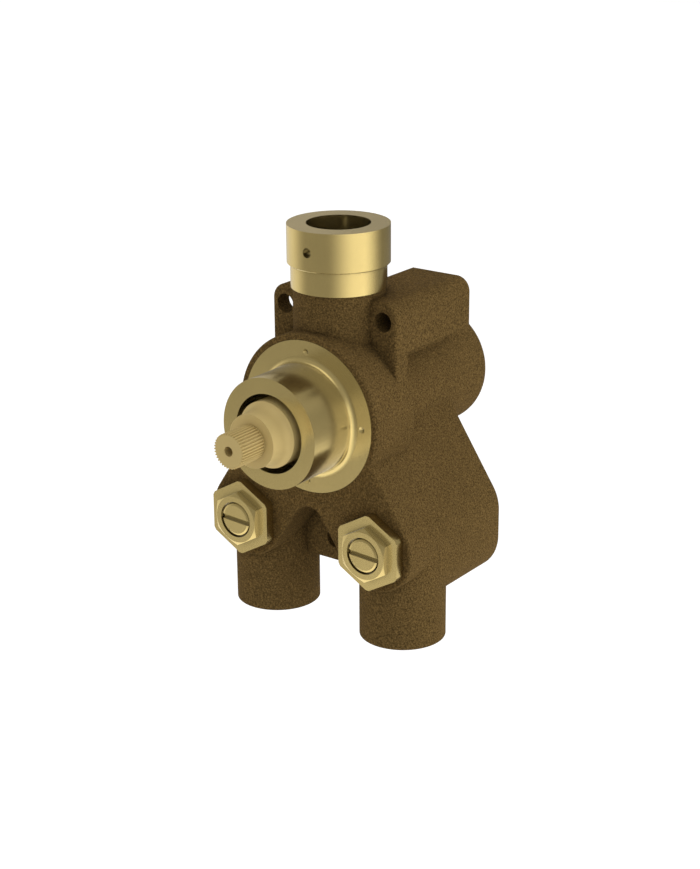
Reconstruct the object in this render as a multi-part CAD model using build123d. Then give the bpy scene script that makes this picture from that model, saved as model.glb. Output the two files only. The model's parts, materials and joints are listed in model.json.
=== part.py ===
from build123d import *
from math import atan2, cos, degrees, hypot, pi, sin, sqrt
import os

# Concealed shower mixer: a cast body with an outlet on top, two inlets below, a temperature cartridge in
# front and a screwdriver stop valve on each inlet.
# Frame, in millimetres: origin at the centre of the outlet's mouth, +X right, +Y back into the wall, +Z up.

# Fits and gaps
RUNNING_FIT = 0.06        # radial clearance of a shaft or slide in its bore
SEATED_GAP = 0.10         # clearance round a fixed piece in its bore
SEAL_GAP = 0.02           # rubber ring to the walls that it meets
GROOVE_PLAY = 0.10        # groove past its ring or clip at each side
TOUCH_GAP = 0.05          # between two faces that bear on each other
SLEEVE_GAP = 0.25         # cartridge sleeve in the main bore
PAST = 1.0                # a cutting tool past the face that it opens
MOVING_GAP = 0.30         # free space beside a piece that moves

# Axes
SPINDLE_DROP = 40.7       # top of the ears down to the spindle axis
STOP_SPREAD = 28.3        # centre plane to each stop valve and inlet axis
STOP_DROP = 43.0          # spindle axis down to the stop valve axes
INLET_FORWARD = 1.6       # inlet axes in front of the outlet axis

# Casting, outside
FACE_FORWARD = 19.3       # front face in front of the outlet axis
FLANGE_R = 27.5           # bonnet flange, sunk in the front face
RIM_WALL = 2.3            # casting round the flange
REAR_BARREL_R = 22.6
REAR_END = 66.5           # back of the rear barrel
REAR_ROUND = 9.0
ARM_R = 15.6              # half width of each arm
ARM_DEPTH = 56.5          # front face to the arms' back
POCKET_DROP = 10.3        # lower end of the arm's rear pocket below the stop axis
INLET_R = 15.5
NECK_R = 16.1
EAR_FORWARD = 3.5         # front of the ears and of the lower lug
EAR_THICK = 6.6
EAR_HALF_WIDTH = 26.8
EAR_FRONT_ROUND = 1.2     # front edges of the ears
EAR_TOP_DROP = 2.3        # top of the casting's neck down to the ears' top
EAR_CORNER_R = 5.4        # also the long upper edge of the waterway block
EAR_HOLE_R = 3.5
EAR_HOLE_SPREAD = 21.1
EAR_HOLE_DROP = 6.9       # ears' top down to the holes
LUG_BOTTOM_DROP = 16.3    # stop valve axes down to the lug's bottom edge
LUG_HOLE_DROP = 7.8       # stop valve axes down to the lug's hole
LUG_HOLE_R = 3.8
LUG_OVERLAP = 2.0         # lug into each arm
BLOCK_LEFT = 2.5          # left face of the waterway block behind the right ear
BLOCK_BACK = 42.8
BLOCK_HEIGHT = 18.0
BLOCK_BACK_ROUND = 1.4
VALLEY_ROUND = 6.5        # top of the notch between the arms
FACE_BEVEL = 0.6          # broken edge of the casting's front face

# Casting, inside
MAIN_BORE_R = 19.0
MAIN_BORE_END_WALL = 6.5
THREAD_BORE_R = 23.0
CARTRIDGE_SEAT_FORWARD = 3.0
PASSAGE_R = 3.8
HOT_PORT_Y = 15.5
COLD_PORT_Y = 26.0
WATERWAY_WALL = 3.0
WATERWAY_ROOF = 4.5
NECK_FLOOR_WALL = 3.7     # casting between the cartridge's thread and the outlet well
NECK_RELIEF = 1.5         # neck's bore past the collar's spigot
WATERWAY_WIDTH = 9.0
WATERWAY_HEIGHT = 9.5
DROP_FRONT_Y = 33.9
DROP_WALL = 2.4
STOP_THREAD_R = 11.6
STOP_CHAMBER_R = 11.0
STOP_SEAT_Y = 8.5
STOP_SEAT_R = 5.5
SEAT_WALL = 4.0
POCKET_WALL = 4.6
INLET_THREAD_R = 12.07
INLET_THREAD_DEPTH = 13.0
CHECK_BORE_R = 11.0
CHECK_PORT_R = 7.6
CHECK_GROOVE_DEPTH = 0.8
CHECK_LEDGE = 2.0         # casting between the check valve and the stop chamber

# Outlet collar
COLLAR_R = 18.0
COLLAR_HEIGHT = 13.8
COLLAR_STEP_R = 16.8
COLLAR_STEP_HEIGHT = 8.4
COLLAR_BEVEL = 0.3
PIPE_R = 11.23
PIPE_DEPTH = 20.0
OUTLET_WAY_R = 10.3
SPIGOT_R = 13.4
SPIGOT_LENGTH = 10.3
FEED_HOLE_R = 1.7
FEED_HOLE_DROP = 7.2
COLLAR_RING_RISE = 2.4     # spigot's end up to its ring

# Bonnet
FLANGE_THICK = 4.1
BONNET_R = 19.7
BONNET_REACH = 21.2       # flange face to the front rim
BONNET_BORE_R = 14.1
BONNET_LIP = 5.0
BONNET_INNER_R = 16.2
BONNET_FILLET = 2.2
BONNET_RING_INSET = 3.0
DIMPLES = 4
DIMPLE_R = 1.15
DIMPLE_DEPTH = 0.9
DIMPLE_CIRCLE_R = 23.5

# Cartridge
HEAD_R = 11.8
HEAD_NOSE_R = 9.5
HEAD_NOSE_FORWARD = 49.7
HEAD_NOSE_LENGTH = 8.2
HEAD_THREAD_R = 13.4
HEAD_THREAD_LENGTH = 8.0
HEAD_TAPER = 0.25         # nose widens by this before it flares
SPLINE_R = 6.19
SPLINE_TEETH = 36
SPLINE_TOOTH = 0.60
SPLINE_CREST = 0.30       # crest's share of the tooth pitch, and the root's
SPLINE_FLANK = 0.20       # each flank's share of the tooth pitch
SPLINE_PROUD = 0.5        # plain shank in front of the nose
SPLINE_FORWARD = 61.5
HANDLE_SCREW_R = 1.76
HANDLE_SCREW_DEPTH = 9.0
SHANK_R = 5.9
SPINDLE_RING_INSETS = (6.0, 11.0)
CAPTIVE_FORWARD = 31.0    # inner step of the head that holds the spindle's shoulder
SHOULDER_THICK = 2.5
WASHER_THICK = 0.8
CLIP_THICK = 1.0
CLIP_BITE = 0.5           # clip into the wall of its bore
CLIP_RIM = 1.9            # clip's own width across
CLIP_GAP = 4.0            # opening of the clips
SPINDLE_THREAD_R = 5.0
SPINDLE_END_FORWARD = 12.0
NUT_CHAMBER_R = 9.4
KEY_HEIGHT = 0.9
KEY_WIDTH = 2.8
KEY_SHORT = 6.0           # keys shorter than what they guide
DRIVE_NUT_FRONT_FORWARD = 23.5
DRIVE_NUT_LENGTH = 20.5
CUP_BORE_R = 7.6
CUP_FLOOR_FORWARD = 14.5
PLUNGER_THICK = 1.9
PLUNGER_INSET = 1.7       # cup's mouth down to the plunger's back
PUSHER_LENGTH = 1.2
SLEEVE_BORE_R = 14.0
SLEEVE_WALL_END = 56.0
SLEEVE_FLANGE_R = 21.5
SLEEVE_FLANGE_THICK = 3.0
SLEEVE_GROOVE_DEPTH = 1.55
PORT_HALF_WIDTH = 3.2
SEAL_HALF_WIDTH = 1.1
SEAL_LAND = 1.1           # wall between a seal groove and the next gallery
SHUTTLE_WALL = 2.3
SHUTTLE_GAP = 0.85        # open gap at each end of the shuttle at rest
SHUTTLE_WEB_THICK = 2.4
FLOW_HOLES = 6
FLOW_HOLE_R = 1.5
HOT_WINDOW = 4.4          # width of the hot and cold ports along the axis
MIXED_WINDOW = 9.0
MIXED_WINDOW_INSET = 6.0
WINDOW_WIDTH = 7.0
INLET_BARS = 3            # pairs of hot windows, and of cold ones
MIXED_BARS = 2
MIXED_TURN = 45           # degrees from level
SEAT_RING_THICK = 3.0
HOT_SEAT_Y = 14.6
COLD_SEAT_Y = 26.45
COLD_SEAT_BORE_R = 10.4
ELEMENT_BULB_R = 6.2
ELEMENT_NECK_R = 4.2
ELEMENT_COLLAR_R = 7.5
ELEMENT_COLLAR_THICK = 3.0
ELEMENT_FRONT = 4.0
ELEMENT_END = 42.0
ELEMENT_FIT = 0.2         # bulb in the web and in the cap's pilot
PISTON_R = 1.6
CAP_THICK = 6.0
CAP_R = 14.5
CAP_PILOT = 2.0
CAP_SOCKET_FLATS = 8.0
CAP_SOCKET_DEPTH = 2.5

# Stop valves
NUT_FLATS = 24.7
NUT_CORNER_R = 13.85
NUT_THICK = 3.8
NOSE_FLATS = 17.7
NOSE_THICK = 2.65
NOSE_CORNER_R = 9.85
NOSE_SLOPE = 1.2          # turned slope that cuts the nose's corners
NUT_RING_INSET = 2.6
SCREW_R = 6.28
SCREW_EDGE = 1.0
SCREW_GAP = 0.42          # visible ring round the screw's head
SCREW_GAP_DEPTH = 2.2
SLOT_WIDTH = 1.8
SLOT_DEPTH = 1.6
SLOT_TILT = 3.0           # degrees from level at rest
NUT_SPIGOT_LENGTH = 10.0
SCREW_SHOULDER_R = 7.5
SCREW_SHOULDER_THICK = 2.2
SCREW_JOURNAL = 10.9
SCREW_RING_INSET = 3.5
STEM_BITE = 0.8           # screw's stem past the plunger's shank
STOP_STEM_R = 3.9
PLUNGER_FLATS = 9.5
PLUNGER_R = 5.9
STOP_DISC_R = 7.6
STOP_DISC_THICK = 2.8
STOP_STUB_R = 1.5
STOP_STUB_PROUD = 0.4
STOP_WASHER_THICK = 2.0
STOP_LIFT = 2.9           # washer to seat when open
GUIDE_REACH = 2.2         # guide ring past the nut, so that the closed plunger still engages it
STRAINER_R = 9.9
STRAINER_WALL = 0.5
STRAINER_SLOTS = 10
STRAINER_ROWS = 2
STRAINER_SLOT_WIDTH = 2.0
STRAINER_SLOT_SHARE = 0.7  # slot's length as a share of its row

# Check valves
CHECK_CLIP_THICK = 1.1
CHECK_LENGTH = 10.7
CHECK_ORIFICE_R = 5.8
CHECK_FLOOR = 2.3
CHECK_CHAMBER_R = 8.8
CHECK_SEAL_THICK = 1.05
CHECK_HEAD_THICK = 1.2
CHECK_HEAD_R = 7.4
CHECK_STEM_R = 1.4
CHECK_GUIDE_THICK = 1.4
CHECK_HUB_R = 2.5
CHECK_HUB_LENGTH = 3.4
CHECK_STEM_BITE = 1.7     # stem into the hub at rest
CHECK_RIM = 1.2
CHECK_SPOKE = 1.4

# Rubber rings and coil springs
COLLAR_RING = 0.65
BONNET_RING = 0.80
SLEEVE_RING = 0.90
SPINDLE_RING = 0.60
SHUTTLE_RING = 0.65
NUT_RING = 0.60
SCREW_RING = 0.50
CHECK_RING = 0.55
OVERLOAD_WIRE = 0.9
RETURN_WIRE = 1.2
CHECK_WIRE = 0.5
OVERLOAD_TURNS = 4
RETURN_TURNS = 6
CHECK_TURNS = 3
WIRE_TRIM = 0.15          # share of the wire that keeps a coil's ends clear of what it bears on

# Places that follow from the sizes above
NECK_TOP_Z = -COLLAR_HEIGHT - COLLAR_STEP_HEIGHT
EAR_TOP_Z = NECK_TOP_Z - EAR_TOP_DROP
SPINDLE_Z = EAR_TOP_Z - SPINDLE_DROP
STOP_Z = SPINDLE_Z - STOP_DROP
CHECK_TOP_Z = STOP_Z - STOP_CHAMBER_R - CHECK_LEDGE
CHECK_LOW_Z = CHECK_TOP_Z - CHECK_LENGTH
CHECK_CLIP_Z = CHECK_LOW_Z - CHECK_CLIP_THICK
BOTTOM_Z = CHECK_CLIP_Z - INLET_THREAD_DEPTH
FACE_Y = -FACE_FORWARD
EAR_Y = -EAR_FORWARD
EAR_BACK_Y = EAR_Y + EAR_THICK
INLET_Y = -INLET_FORWARD
ARM_BACK_Y = FACE_Y + ARM_DEPTH
FRONT_BARREL_R = FLANGE_R + RIM_WALL
COUNTERBORE_Y = FACE_Y + FLANGE_THICK
CARTRIDGE_SEAT_Y = -CARTRIDGE_SEAT_FORWARD
SLEEVE_FRONT_Y = CARTRIDGE_SEAT_Y - SLEEVE_FLANGE_THICK
SLEEVE_R = MAIN_BORE_R - SLEEVE_GAP
NECK_FLOOR_Z = SPINDLE_Z + THREAD_BORE_R + NECK_FLOOR_WALL
POCKET_Z = STOP_Z - POCKET_DROP
SEAL_LANDS = (
    HOT_PORT_Y - PORT_HALF_WIDTH - SEAL_LAND - SEAL_HALF_WIDTH,
    (HOT_PORT_Y + COLD_PORT_Y) / 2,
    COLD_PORT_Y + PORT_HALF_WIDTH + SEAL_LAND + SEAL_HALF_WIDTH,
)
MIXED_Y = SEAL_LANDS[2] + SEAL_HALF_WIDTH + SEAL_LAND
BORE_END_Y = REAR_END - MAIN_BORE_END_WALL
SIDES = (("left", -1), ("right", 1))


def turned_y(points, x=0.0, z=SPINDLE_Z):
    """Solid turned about an axis along Y through (x, z), from a closed outline of (radius, y) points."""
    outline = make_face(Polyline(*points, close=True))
    return Pos(x, 0, z) * revolve(outline, Axis.Y)


def turned_z(points, x=0.0, y=0.0):
    """Solid turned about an upright axis through (x, y), from a closed outline of (radius, z) points."""
    outline = Plane.XZ * make_face(Polyline(*points, close=True))
    return Pos(x, y, 0) * revolve(outline, Axis.Z)


def rod_y(radius, front, back, x=0.0, z=SPINDLE_Z):
    """Cylinder along Y."""
    return Pos(x, (front + back) / 2, z) * Rot(90, 0, 0) * Cylinder(radius, back - front)


def rod_z(radius, low, high, x=0.0, y=0.0):
    """Cylinder along Z."""
    return Pos(x, y, (low + high) / 2) * Cylinder(radius, high - low)


def ring_y(outer, inner, front, back, x=0.0, z=SPINDLE_Z):
    """Plain ring along Y."""
    return turned_y([(inner, front), (outer, front), (outer, back), (inner, back)], x, z)


def block(x0, x1, y0, y1, z0, z1):
    """Box between two corners."""
    return Pos((x0 + x1) / 2, (y0 + y1) / 2, (z0 + z1) / 2) * Box(x1 - x0, y1 - y0, z1 - z0)


def slot_y(start, end, radius, front, back):
    """Bar along Y whose section is a slot round the centres start and end, each (x, z)."""
    run = hypot(end[0] - start[0], end[1] - start[1])
    tilt = degrees(atan2(end[1] - start[1], end[0] - start[0]))
    middle = Pos((start[0] + end[0]) / 2, (start[1] + end[1]) / 2)
    section = Plane.XZ * middle * Rot(0, 0, tilt) * SlotCenterToCenter(run, 2 * radius)
    return extrude(Pos(0, front, 0) * section, back - front, dir=(0, 1, 0))


def hexagon_y(flats, front, back, x, z):
    """Hexagonal bar along Y with two flats facing sideways."""
    section = Plane.XZ * Rot(0, 0, 30) * RegularPolygon(flats / 2, 6, major_radius=False)
    return Pos(x, front, z) * extrude(section, back - front, dir=(0, 1, 0))


def ring_section(groove_r, section_r, place):
    """Outline of a rubber ring squeezed between its groove and the wall, as (radius, place) points."""
    half = section_r - SEAL_GAP
    flat = half * (sqrt(2) - 1)
    corners = [(flat, -half), (half, -flat), (half, flat), (flat, half)]
    corners += [(-across, -along) for across, along in corners]
    return [(groove_r + section_r + across, place + along) for across, along in corners]


def rubber_ring_y(groove_r, section_r, y, x=0.0, z=SPINDLE_Z):
    """Rubber ring round a Y axis that lies in a groove of radius groove_r."""
    return turned_y(ring_section(groove_r, section_r, y), x, z)


def rubber_ring_z(groove_r, section_r, z, x=0.0, y=0.0):
    """Rubber ring round an upright axis that lies in a groove of radius groove_r."""
    return turned_z(ring_section(groove_r, section_r, z), x, y)


def notch(wall_r, floor_r, middle, half):
    """Groove in a turned outline, as (radius, place) points in rising order of place."""
    low, high = middle - half, middle + half
    return [(wall_r, low), (floor_r, low), (floor_r, high), (wall_r, high)]


def ring_notch(wall_r, floor_r, section_r, middle):
    """Groove for a rubber ring of radius section_r."""
    return notch(wall_r, floor_r, middle, section_r + GROOVE_PLAY)


def coil_z(mean_r, wire, length, turns):
    """Coil spring of square wire that stands on the origin and is length high over all."""
    path = Helix(pitch=(length - wire) / turns, height=length - wire, radius=mean_r)
    section = Plane(origin=path @ 0, x_dir=(1, 0, 0), z_dir=path % 0) * Rectangle(wire, wire)
    return Pos(0, 0, wire / 2) * sweep(section, path=path, is_frenet=True)


def coil_y(mean_r, wire, front, back, turns):
    """Coil spring of square wire along the spindle axis, between two places on it."""
    trim = WIRE_TRIM * wire
    coil = coil_z(mean_r, wire, back - front - 2 * trim, turns)
    return Pos(0, front + trim, SPINDLE_Z) * Rot(-90, 0, 0) * coil


def save(node, shape):
    """Write one node of the part."""
    export_step(shape, f"parts/{node}.step")


def barrels():
    """Front and rear barrels round the spindle axis."""
    front = rod_y(FRONT_BARREL_R, FACE_Y, EAR_BACK_Y)
    rear = rod_y(REAR_BARREL_R, CARTRIDGE_SEAT_Y, REAR_END)
    rear = fillet(rear.edges().sort_by(Axis.Y)[-1:], REAR_ROUND)
    return front + rear


def arm(side):
    """One arm: a slot from the spindle axis to the stop axis, with the rear pocket and the inlet below."""
    x = side * STOP_SPREAD
    web = slot_y((0, SPINDLE_Z), (x, STOP_Z), ARM_R, FACE_Y, ARM_BACK_Y)
    pocket = slot_y((x, STOP_Z), (x, POCKET_Z), ARM_R, INLET_Y, ARM_BACK_Y)
    inlet = rod_z(INLET_R, BOTTOM_Z, STOP_Z, x, INLET_Y)
    return web + pocket + inlet


def valley_fill():
    """Round top of the notch between the two arms."""
    length = hypot(STOP_SPREAD, STOP_DROP)
    rise, run = STOP_DROP / length, STOP_SPREAD / length
    apex_z = SPINDLE_Z - ARM_R / run
    centre_z = apex_z - VALLEY_ROUND / run
    half = VALLEY_ROUND * rise
    touch_z = centre_z + VALLEY_ROUND * run
    peak = Polyline((0, apex_z + 2), (half, touch_z), (-half, touch_z), close=True)
    wedge = Pos(0, FACE_Y, 0) * extrude(Plane.XZ * make_face(peak), ARM_DEPTH, dir=(0, 1, 0))
    return wedge - rod_y(VALLEY_ROUND, FACE_Y - 1, ARM_BACK_Y + 1, 0, centre_z)


def fixing_plate():
    """Two ears at the top and the lug between the inlets."""
    ears = block(-EAR_HALF_WIDTH, EAR_HALF_WIDTH, EAR_Y, EAR_BACK_Y, SPINDLE_Z, EAR_TOP_Z)
    corners = ears.edges().filter_by(Axis.Y).group_by(Axis.Z)[-1]
    ears = fillet(corners, EAR_CORNER_R)
    ears = fillet(ears.faces().sort_by(Axis.Y)[0].outer_wire().edges(), EAR_FRONT_ROUND)
    reach = STOP_SPREAD - ARM_R + LUG_OVERLAP
    lug = block(-reach, reach, EAR_Y, EAR_BACK_Y, STOP_Z - LUG_BOTTOM_DROP, SPINDLE_Z)
    return ears + lug


def waterway_block():
    """Block behind the right ear that carries mixed water forward to the outlet, and its foot."""
    low = EAR_TOP_Z - BLOCK_HEIGHT
    front = EAR_BACK_Y - PAST
    body = block(BLOCK_LEFT, EAR_HALF_WIDTH, front, BLOCK_BACK, low, EAR_TOP_Z)
    long_edge = body.edges().filter_by(Axis.Y).sort_by(lambda e: e.center().X + e.center().Z)[-1:]
    body = fillet(long_edge, EAR_CORNER_R)
    body = fillet(body.faces().sort_by(Axis.Y)[-1].outer_wire().edges(), BLOCK_BACK_ROUND)
    foot_right = BLOCK_LEFT + WATERWAY_WIDTH + 2 * DROP_WALL
    foot = block(BLOCK_LEFT, foot_right, front, BLOCK_BACK - BLOCK_BACK_ROUND, SPINDLE_Z, low + PAST)
    return body + foot


def main_bore():
    """Stepped bore for the bonnet and the cartridge."""
    return turned_y([
        (0, FACE_Y - 1), (FLANGE_R + SEATED_GAP, FACE_Y - 1), (FLANGE_R + SEATED_GAP, COUNTERBORE_Y),
        (THREAD_BORE_R, COUNTERBORE_Y), (THREAD_BORE_R, CARTRIDGE_SEAT_Y),
        (MAIN_BORE_R, CARTRIDGE_SEAT_Y), (MAIN_BORE_R, BORE_END_Y), (0, BORE_END_Y),
    ])


def outlet_ways():
    """Threaded neck, its well, and the waterway from the rear chamber."""
    neck = rod_z(SPIGOT_R + SEATED_GAP, NECK_TOP_Z - SPIGOT_LENGTH - NECK_RELIEF, NECK_TOP_Z + PAST)
    well = rod_z(PIPE_R, NECK_FLOOR_Z, NECK_TOP_Z)
    left = BLOCK_LEFT + WATERWAY_WALL
    right = left + WATERWAY_WIDTH
    high = EAR_TOP_Z - WATERWAY_ROOF
    low = high - WATERWAY_HEIGHT
    back = BLOCK_BACK - DROP_WALL
    way = block(left, right, EAR_BACK_Y + PAST, back, low, high)
    drop = block(left, right, DROP_FRONT_Y, back, SPINDLE_Z + MAIN_BORE_R / 2, low + PAST)
    return neck + well + way + drop


def arm_ways(side, port_y):
    """Stop valve bore, seat, rear pocket, slanted passage and inlet bore of one arm."""
    x = side * STOP_SPREAD
    front = turned_y([
        (0, FACE_Y - 1), (STOP_THREAD_R, FACE_Y - 1), (STOP_THREAD_R, FACE_Y + NUT_SPIGOT_LENGTH),
        (STOP_CHAMBER_R, FACE_Y + NUT_SPIGOT_LENGTH), (STOP_CHAMBER_R, STOP_SEAT_Y),
        (STOP_SEAT_R, STOP_SEAT_Y), (STOP_SEAT_R, STOP_SEAT_Y + SEAT_WALL + 1),
        (0, STOP_SEAT_Y + SEAT_WALL + 1),
    ], x, STOP_Z)
    pocket = slot_y(
        (x, STOP_Z), (x, POCKET_Z), ARM_R - POCKET_WALL,
        STOP_SEAT_Y + SEAT_WALL, ARM_BACK_Y - POCKET_WALL,
    )
    run = hypot(STOP_SPREAD, STOP_DROP)
    tilt = degrees(atan2(STOP_SPREAD, STOP_DROP))
    reach = run - MAIN_BORE_R + 2
    middle = run - reach / 2
    share = middle / run
    passage = Pos(x * share, port_y, SPINDLE_Z - STOP_DROP * share) * Rot(0, -side * tilt, 0)
    inlet = turned_z([
        (0, BOTTOM_Z - 1), (INLET_THREAD_R, BOTTOM_Z - 1),
        (INLET_THREAD_R, BOTTOM_Z + INLET_THREAD_DEPTH), (CHECK_BORE_R, BOTTOM_Z + INLET_THREAD_DEPTH),
        (CHECK_BORE_R, CHECK_TOP_Z + SEATED_GAP), (CHECK_PORT_R, CHECK_TOP_Z + SEATED_GAP),
        (CHECK_PORT_R, STOP_Z), (0, STOP_Z),
    ], x, INLET_Y)
    groove = rod_z(CHECK_BORE_R + CHECK_GROOVE_DEPTH, CHECK_CLIP_Z, CHECK_LOW_Z, x, INLET_Y)
    return front + pocket + passage * Cylinder(PASSAGE_R, reach) + inlet + groove


def fixing_holes():
    """Screw holes of the two ears and the lug; the right one runs on through the block."""
    z = EAR_TOP_Z - EAR_HOLE_DROP
    left = rod_y(EAR_HOLE_R, EAR_Y - 1, EAR_BACK_Y + 1, -EAR_HOLE_SPREAD, z)
    right = rod_y(EAR_HOLE_R, EAR_Y - 1, BLOCK_BACK + 1, EAR_HOLE_SPREAD, z)
    lower = rod_y(LUG_HOLE_R, EAR_Y - 1, EAR_BACK_Y + 1, 0, STOP_Z - LUG_HOLE_DROP)
    return left + right + lower


def valve_body():
    """The casting, hollow, in one piece."""
    body = barrels() + arm(-1) + arm(1) + valley_fill() + fixing_plate() + waterway_block()
    body += rod_z(NECK_R, SPINDLE_Z, NECK_TOP_Z)
    front = body.faces().filter_by(Axis.Y).sort_by(Axis.Y)[0]
    body = chamfer(front.edges(), FACE_BEVEL)
    body -= main_bore()
    body -= outlet_ways()
    body -= arm_ways(-1, HOT_PORT_Y)
    body -= arm_ways(1, COLD_PORT_Y)
    return body - fixing_holes()


def outlet_collar():
    """Turned collar with the pipe socket and the threaded spigot that screws into the neck."""
    low = NECK_TOP_Z - SPIGOT_LENGTH
    collar = turned_z([
        (PIPE_R, -PIPE_DEPTH), (OUTLET_WAY_R, -PIPE_DEPTH), (OUTLET_WAY_R, low), (SPIGOT_R, low),
        *ring_notch(SPIGOT_R, COLLAR_GROOVE_R, COLLAR_RING, COLLAR_RING_Z),
        (SPIGOT_R, NECK_TOP_Z), (COLLAR_STEP_R, NECK_TOP_Z), (COLLAR_STEP_R, -COLLAR_HEIGHT),
        (COLLAR_R - COLLAR_BEVEL, -COLLAR_HEIGHT), (COLLAR_R, COLLAR_BEVEL - COLLAR_HEIGHT),
        (COLLAR_R, 0), (PIPE_R, 0),
    ])
    return collar - rod_y(FEED_HOLE_R, -COLLAR_R - PAST, 0, 0, -FEED_HOLE_DROP)


def bonnet():
    """Flanged ring that screws into the body and clamps the cartridge."""
    back = SLEEVE_FRONT_Y
    spigot_r = THREAD_BORE_R - SEATED_GAP
    rim_y = FACE_Y - BONNET_REACH
    ring = turned_y([
        (BONNET_BORE_R, rim_y), (BONNET_R, rim_y), (BONNET_R, FACE_Y), (FLANGE_R, FACE_Y),
        (FLANGE_R, COUNTERBORE_Y), (spigot_r, COUNTERBORE_Y),
        *ring_notch(spigot_r, BONNET_GROOVE_R, BONNET_RING, BONNET_RING_Y),
        (spigot_r, back), (BONNET_INNER_R, back), (BONNET_INNER_R, rim_y + BONNET_LIP),
        (BONNET_BORE_R, rim_y + BONNET_LIP),
    ])
    inner = [e for e in ring.edges() if abs(e.center().Y - FACE_Y) < 0.01 and abs(e.radius - BONNET_R) < 0.01]
    ring = fillet(inner, BONNET_FILLET)
    profile = [(0, FACE_Y - PAST), (DIMPLE_R, FACE_Y - PAST), (DIMPLE_R, FACE_Y), (0, FACE_Y + DIMPLE_DEPTH)]
    for turn in range(DIMPLES):
        angle = 2 * pi * turn / DIMPLES
        x, z = DIMPLE_CIRCLE_R * cos(angle), SPINDLE_Z + DIMPLE_CIRCLE_R * sin(angle)
        ring -= turned_y(profile, x, z)
    return ring


def cartridge_sleeve():
    """Cartridge housing: seal grooves outside, hot, cold and mixed ports through the wall."""
    gallery_r = SLEEVE_R - SLEEVE_GROOVE_DEPTH
    thread_r = HEAD_THREAD_R + SEATED_GAP
    plug_r = CAP_R + SEATED_GAP
    cap_y = SLEEVE_WALL_END - CAP_THICK
    thread_end = SLEEVE_FRONT_Y + HEAD_THREAD_LENGTH
    grooves = [(land, SEAL_HALF_WIDTH, SLEEVE_SEAL_R) for land in SEAL_LANDS]
    grooves += [(port, PORT_HALF_WIDTH, gallery_r) for port in (HOT_PORT_Y, COLD_PORT_Y)]
    outline = [(thread_r, SLEEVE_FRONT_Y), (SLEEVE_FLANGE_R, SLEEVE_FRONT_Y)]
    outline += [(SLEEVE_FLANGE_R, CARTRIDGE_SEAT_Y), (SLEEVE_R, CARTRIDGE_SEAT_Y)]
    for middle, half, floor_r in sorted(grooves):
        outline += notch(SLEEVE_R, floor_r, middle, half)
    outline += [(SLEEVE_R, MIXED_Y), (gallery_r, MIXED_Y), (gallery_r, SLEEVE_WALL_END)]
    outline += [(plug_r, SLEEVE_WALL_END), (plug_r, cap_y), (SLEEVE_BORE_R, cap_y)]
    outline += [(SLEEVE_BORE_R, thread_end), (thread_r, thread_end)]
    sleeve = turned_y(outline)
    mixed_y = MIXED_Y + MIXED_WINDOW_INSET
    windows = (
        (HOT_GAP_Y, HOT_WINDOW, INLET_BARS, 0),
        (COLD_GAP_Y, HOT_WINDOW, INLET_BARS, 0),
        (mixed_y, MIXED_WINDOW, MIXED_BARS, MIXED_TURN),
    )
    for middle, width, bars, start in windows:
        for turn in range(bars):
            bar = Box(2 * SLEEVE_R + PAST, width, WINDOW_WIDTH)
            sleeve -= Pos(0, middle, SPINDLE_Z) * Rot(0, start + turn * 180 / bars, 0) * bar
    return sleeve


def cartridge_head():
    """Nose of the cartridge: journal for the spindle, keyed chamber for the drive nut, thread behind."""
    nose_y = -HEAD_NOSE_FORWARD
    step_y = -CAPTIVE_FORWARD
    thread_y = SLEEVE_FRONT_Y
    end_y = SLEEVE_FRONT_Y + HEAD_THREAD_LENGTH - 2 * SEATED_GAP
    journal_r = SHANK_R + RUNNING_FIT
    flare_y = nose_y + HEAD_NOSE_LENGTH
    waist = (HEAD_NOSE_R + HEAD_TAPER, nose_y + HEAD_NOSE_LENGTH / 2)
    outline = Polyline((journal_r, nose_y), (HEAD_NOSE_R, nose_y), waist)
    flare = Spline(waist, (HEAD_R, flare_y), tangents=[(HEAD_TAPER, HEAD_NOSE_LENGTH / 2), (1.0, 0.5)])
    rest = Polyline(
        (HEAD_R, flare_y), (HEAD_R, thread_y), (HEAD_THREAD_R, thread_y), (HEAD_THREAD_R, end_y),
        (NUT_CHAMBER_R, end_y), (NUT_CHAMBER_R, step_y), (journal_r, step_y), (journal_r, nose_y),
    )
    face = make_face(outline + flare + rest)
    head = Pos(0, 0, SPINDLE_Z) * revolve(face, Axis.Y)
    half_width = KEY_WIDTH / 2 + SEATED_GAP
    keyway_r = NUT_CHAMBER_R + KEY_HEIGHT
    keyway_y = step_y + KEY_SHORT
    head -= block(
        -half_width, half_width, keyway_y, end_y + PAST, SPINDLE_Z - keyway_r, SPINDLE_Z + keyway_r)
    groove = CLIP_FRONT_Y - TOUCH_GAP, CLIP_FRONT_Y + CLIP_THICK + TOUCH_GAP
    return head - ring_y(NUT_CHAMBER_R + CLIP_BITE + GROOVE_PLAY, SHANK_R, *groove)


def spline(front, back):
    """Fine straight teeth round the spindle's front end."""
    root_r = SPLINE_R - SPLINE_TOOTH
    root = SPLINE_CREST + SPLINE_FLANK
    corners = ((0.0, SPLINE_R), (SPLINE_CREST, SPLINE_R), (root, root_r), (root + SPLINE_CREST, root_r))
    points = []
    for tooth in range(SPLINE_TEETH):
        for share, radius in corners:
            angle = 2 * pi * (tooth + share) / SPLINE_TEETH
            points.append((radius * cos(angle), radius * sin(angle)))
    section = Plane.XZ * make_face(Polyline(*points, close=True))
    return Pos(0, front, SPINDLE_Z) * extrude(section, back - front, dir=(0, 1, 0))


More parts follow.
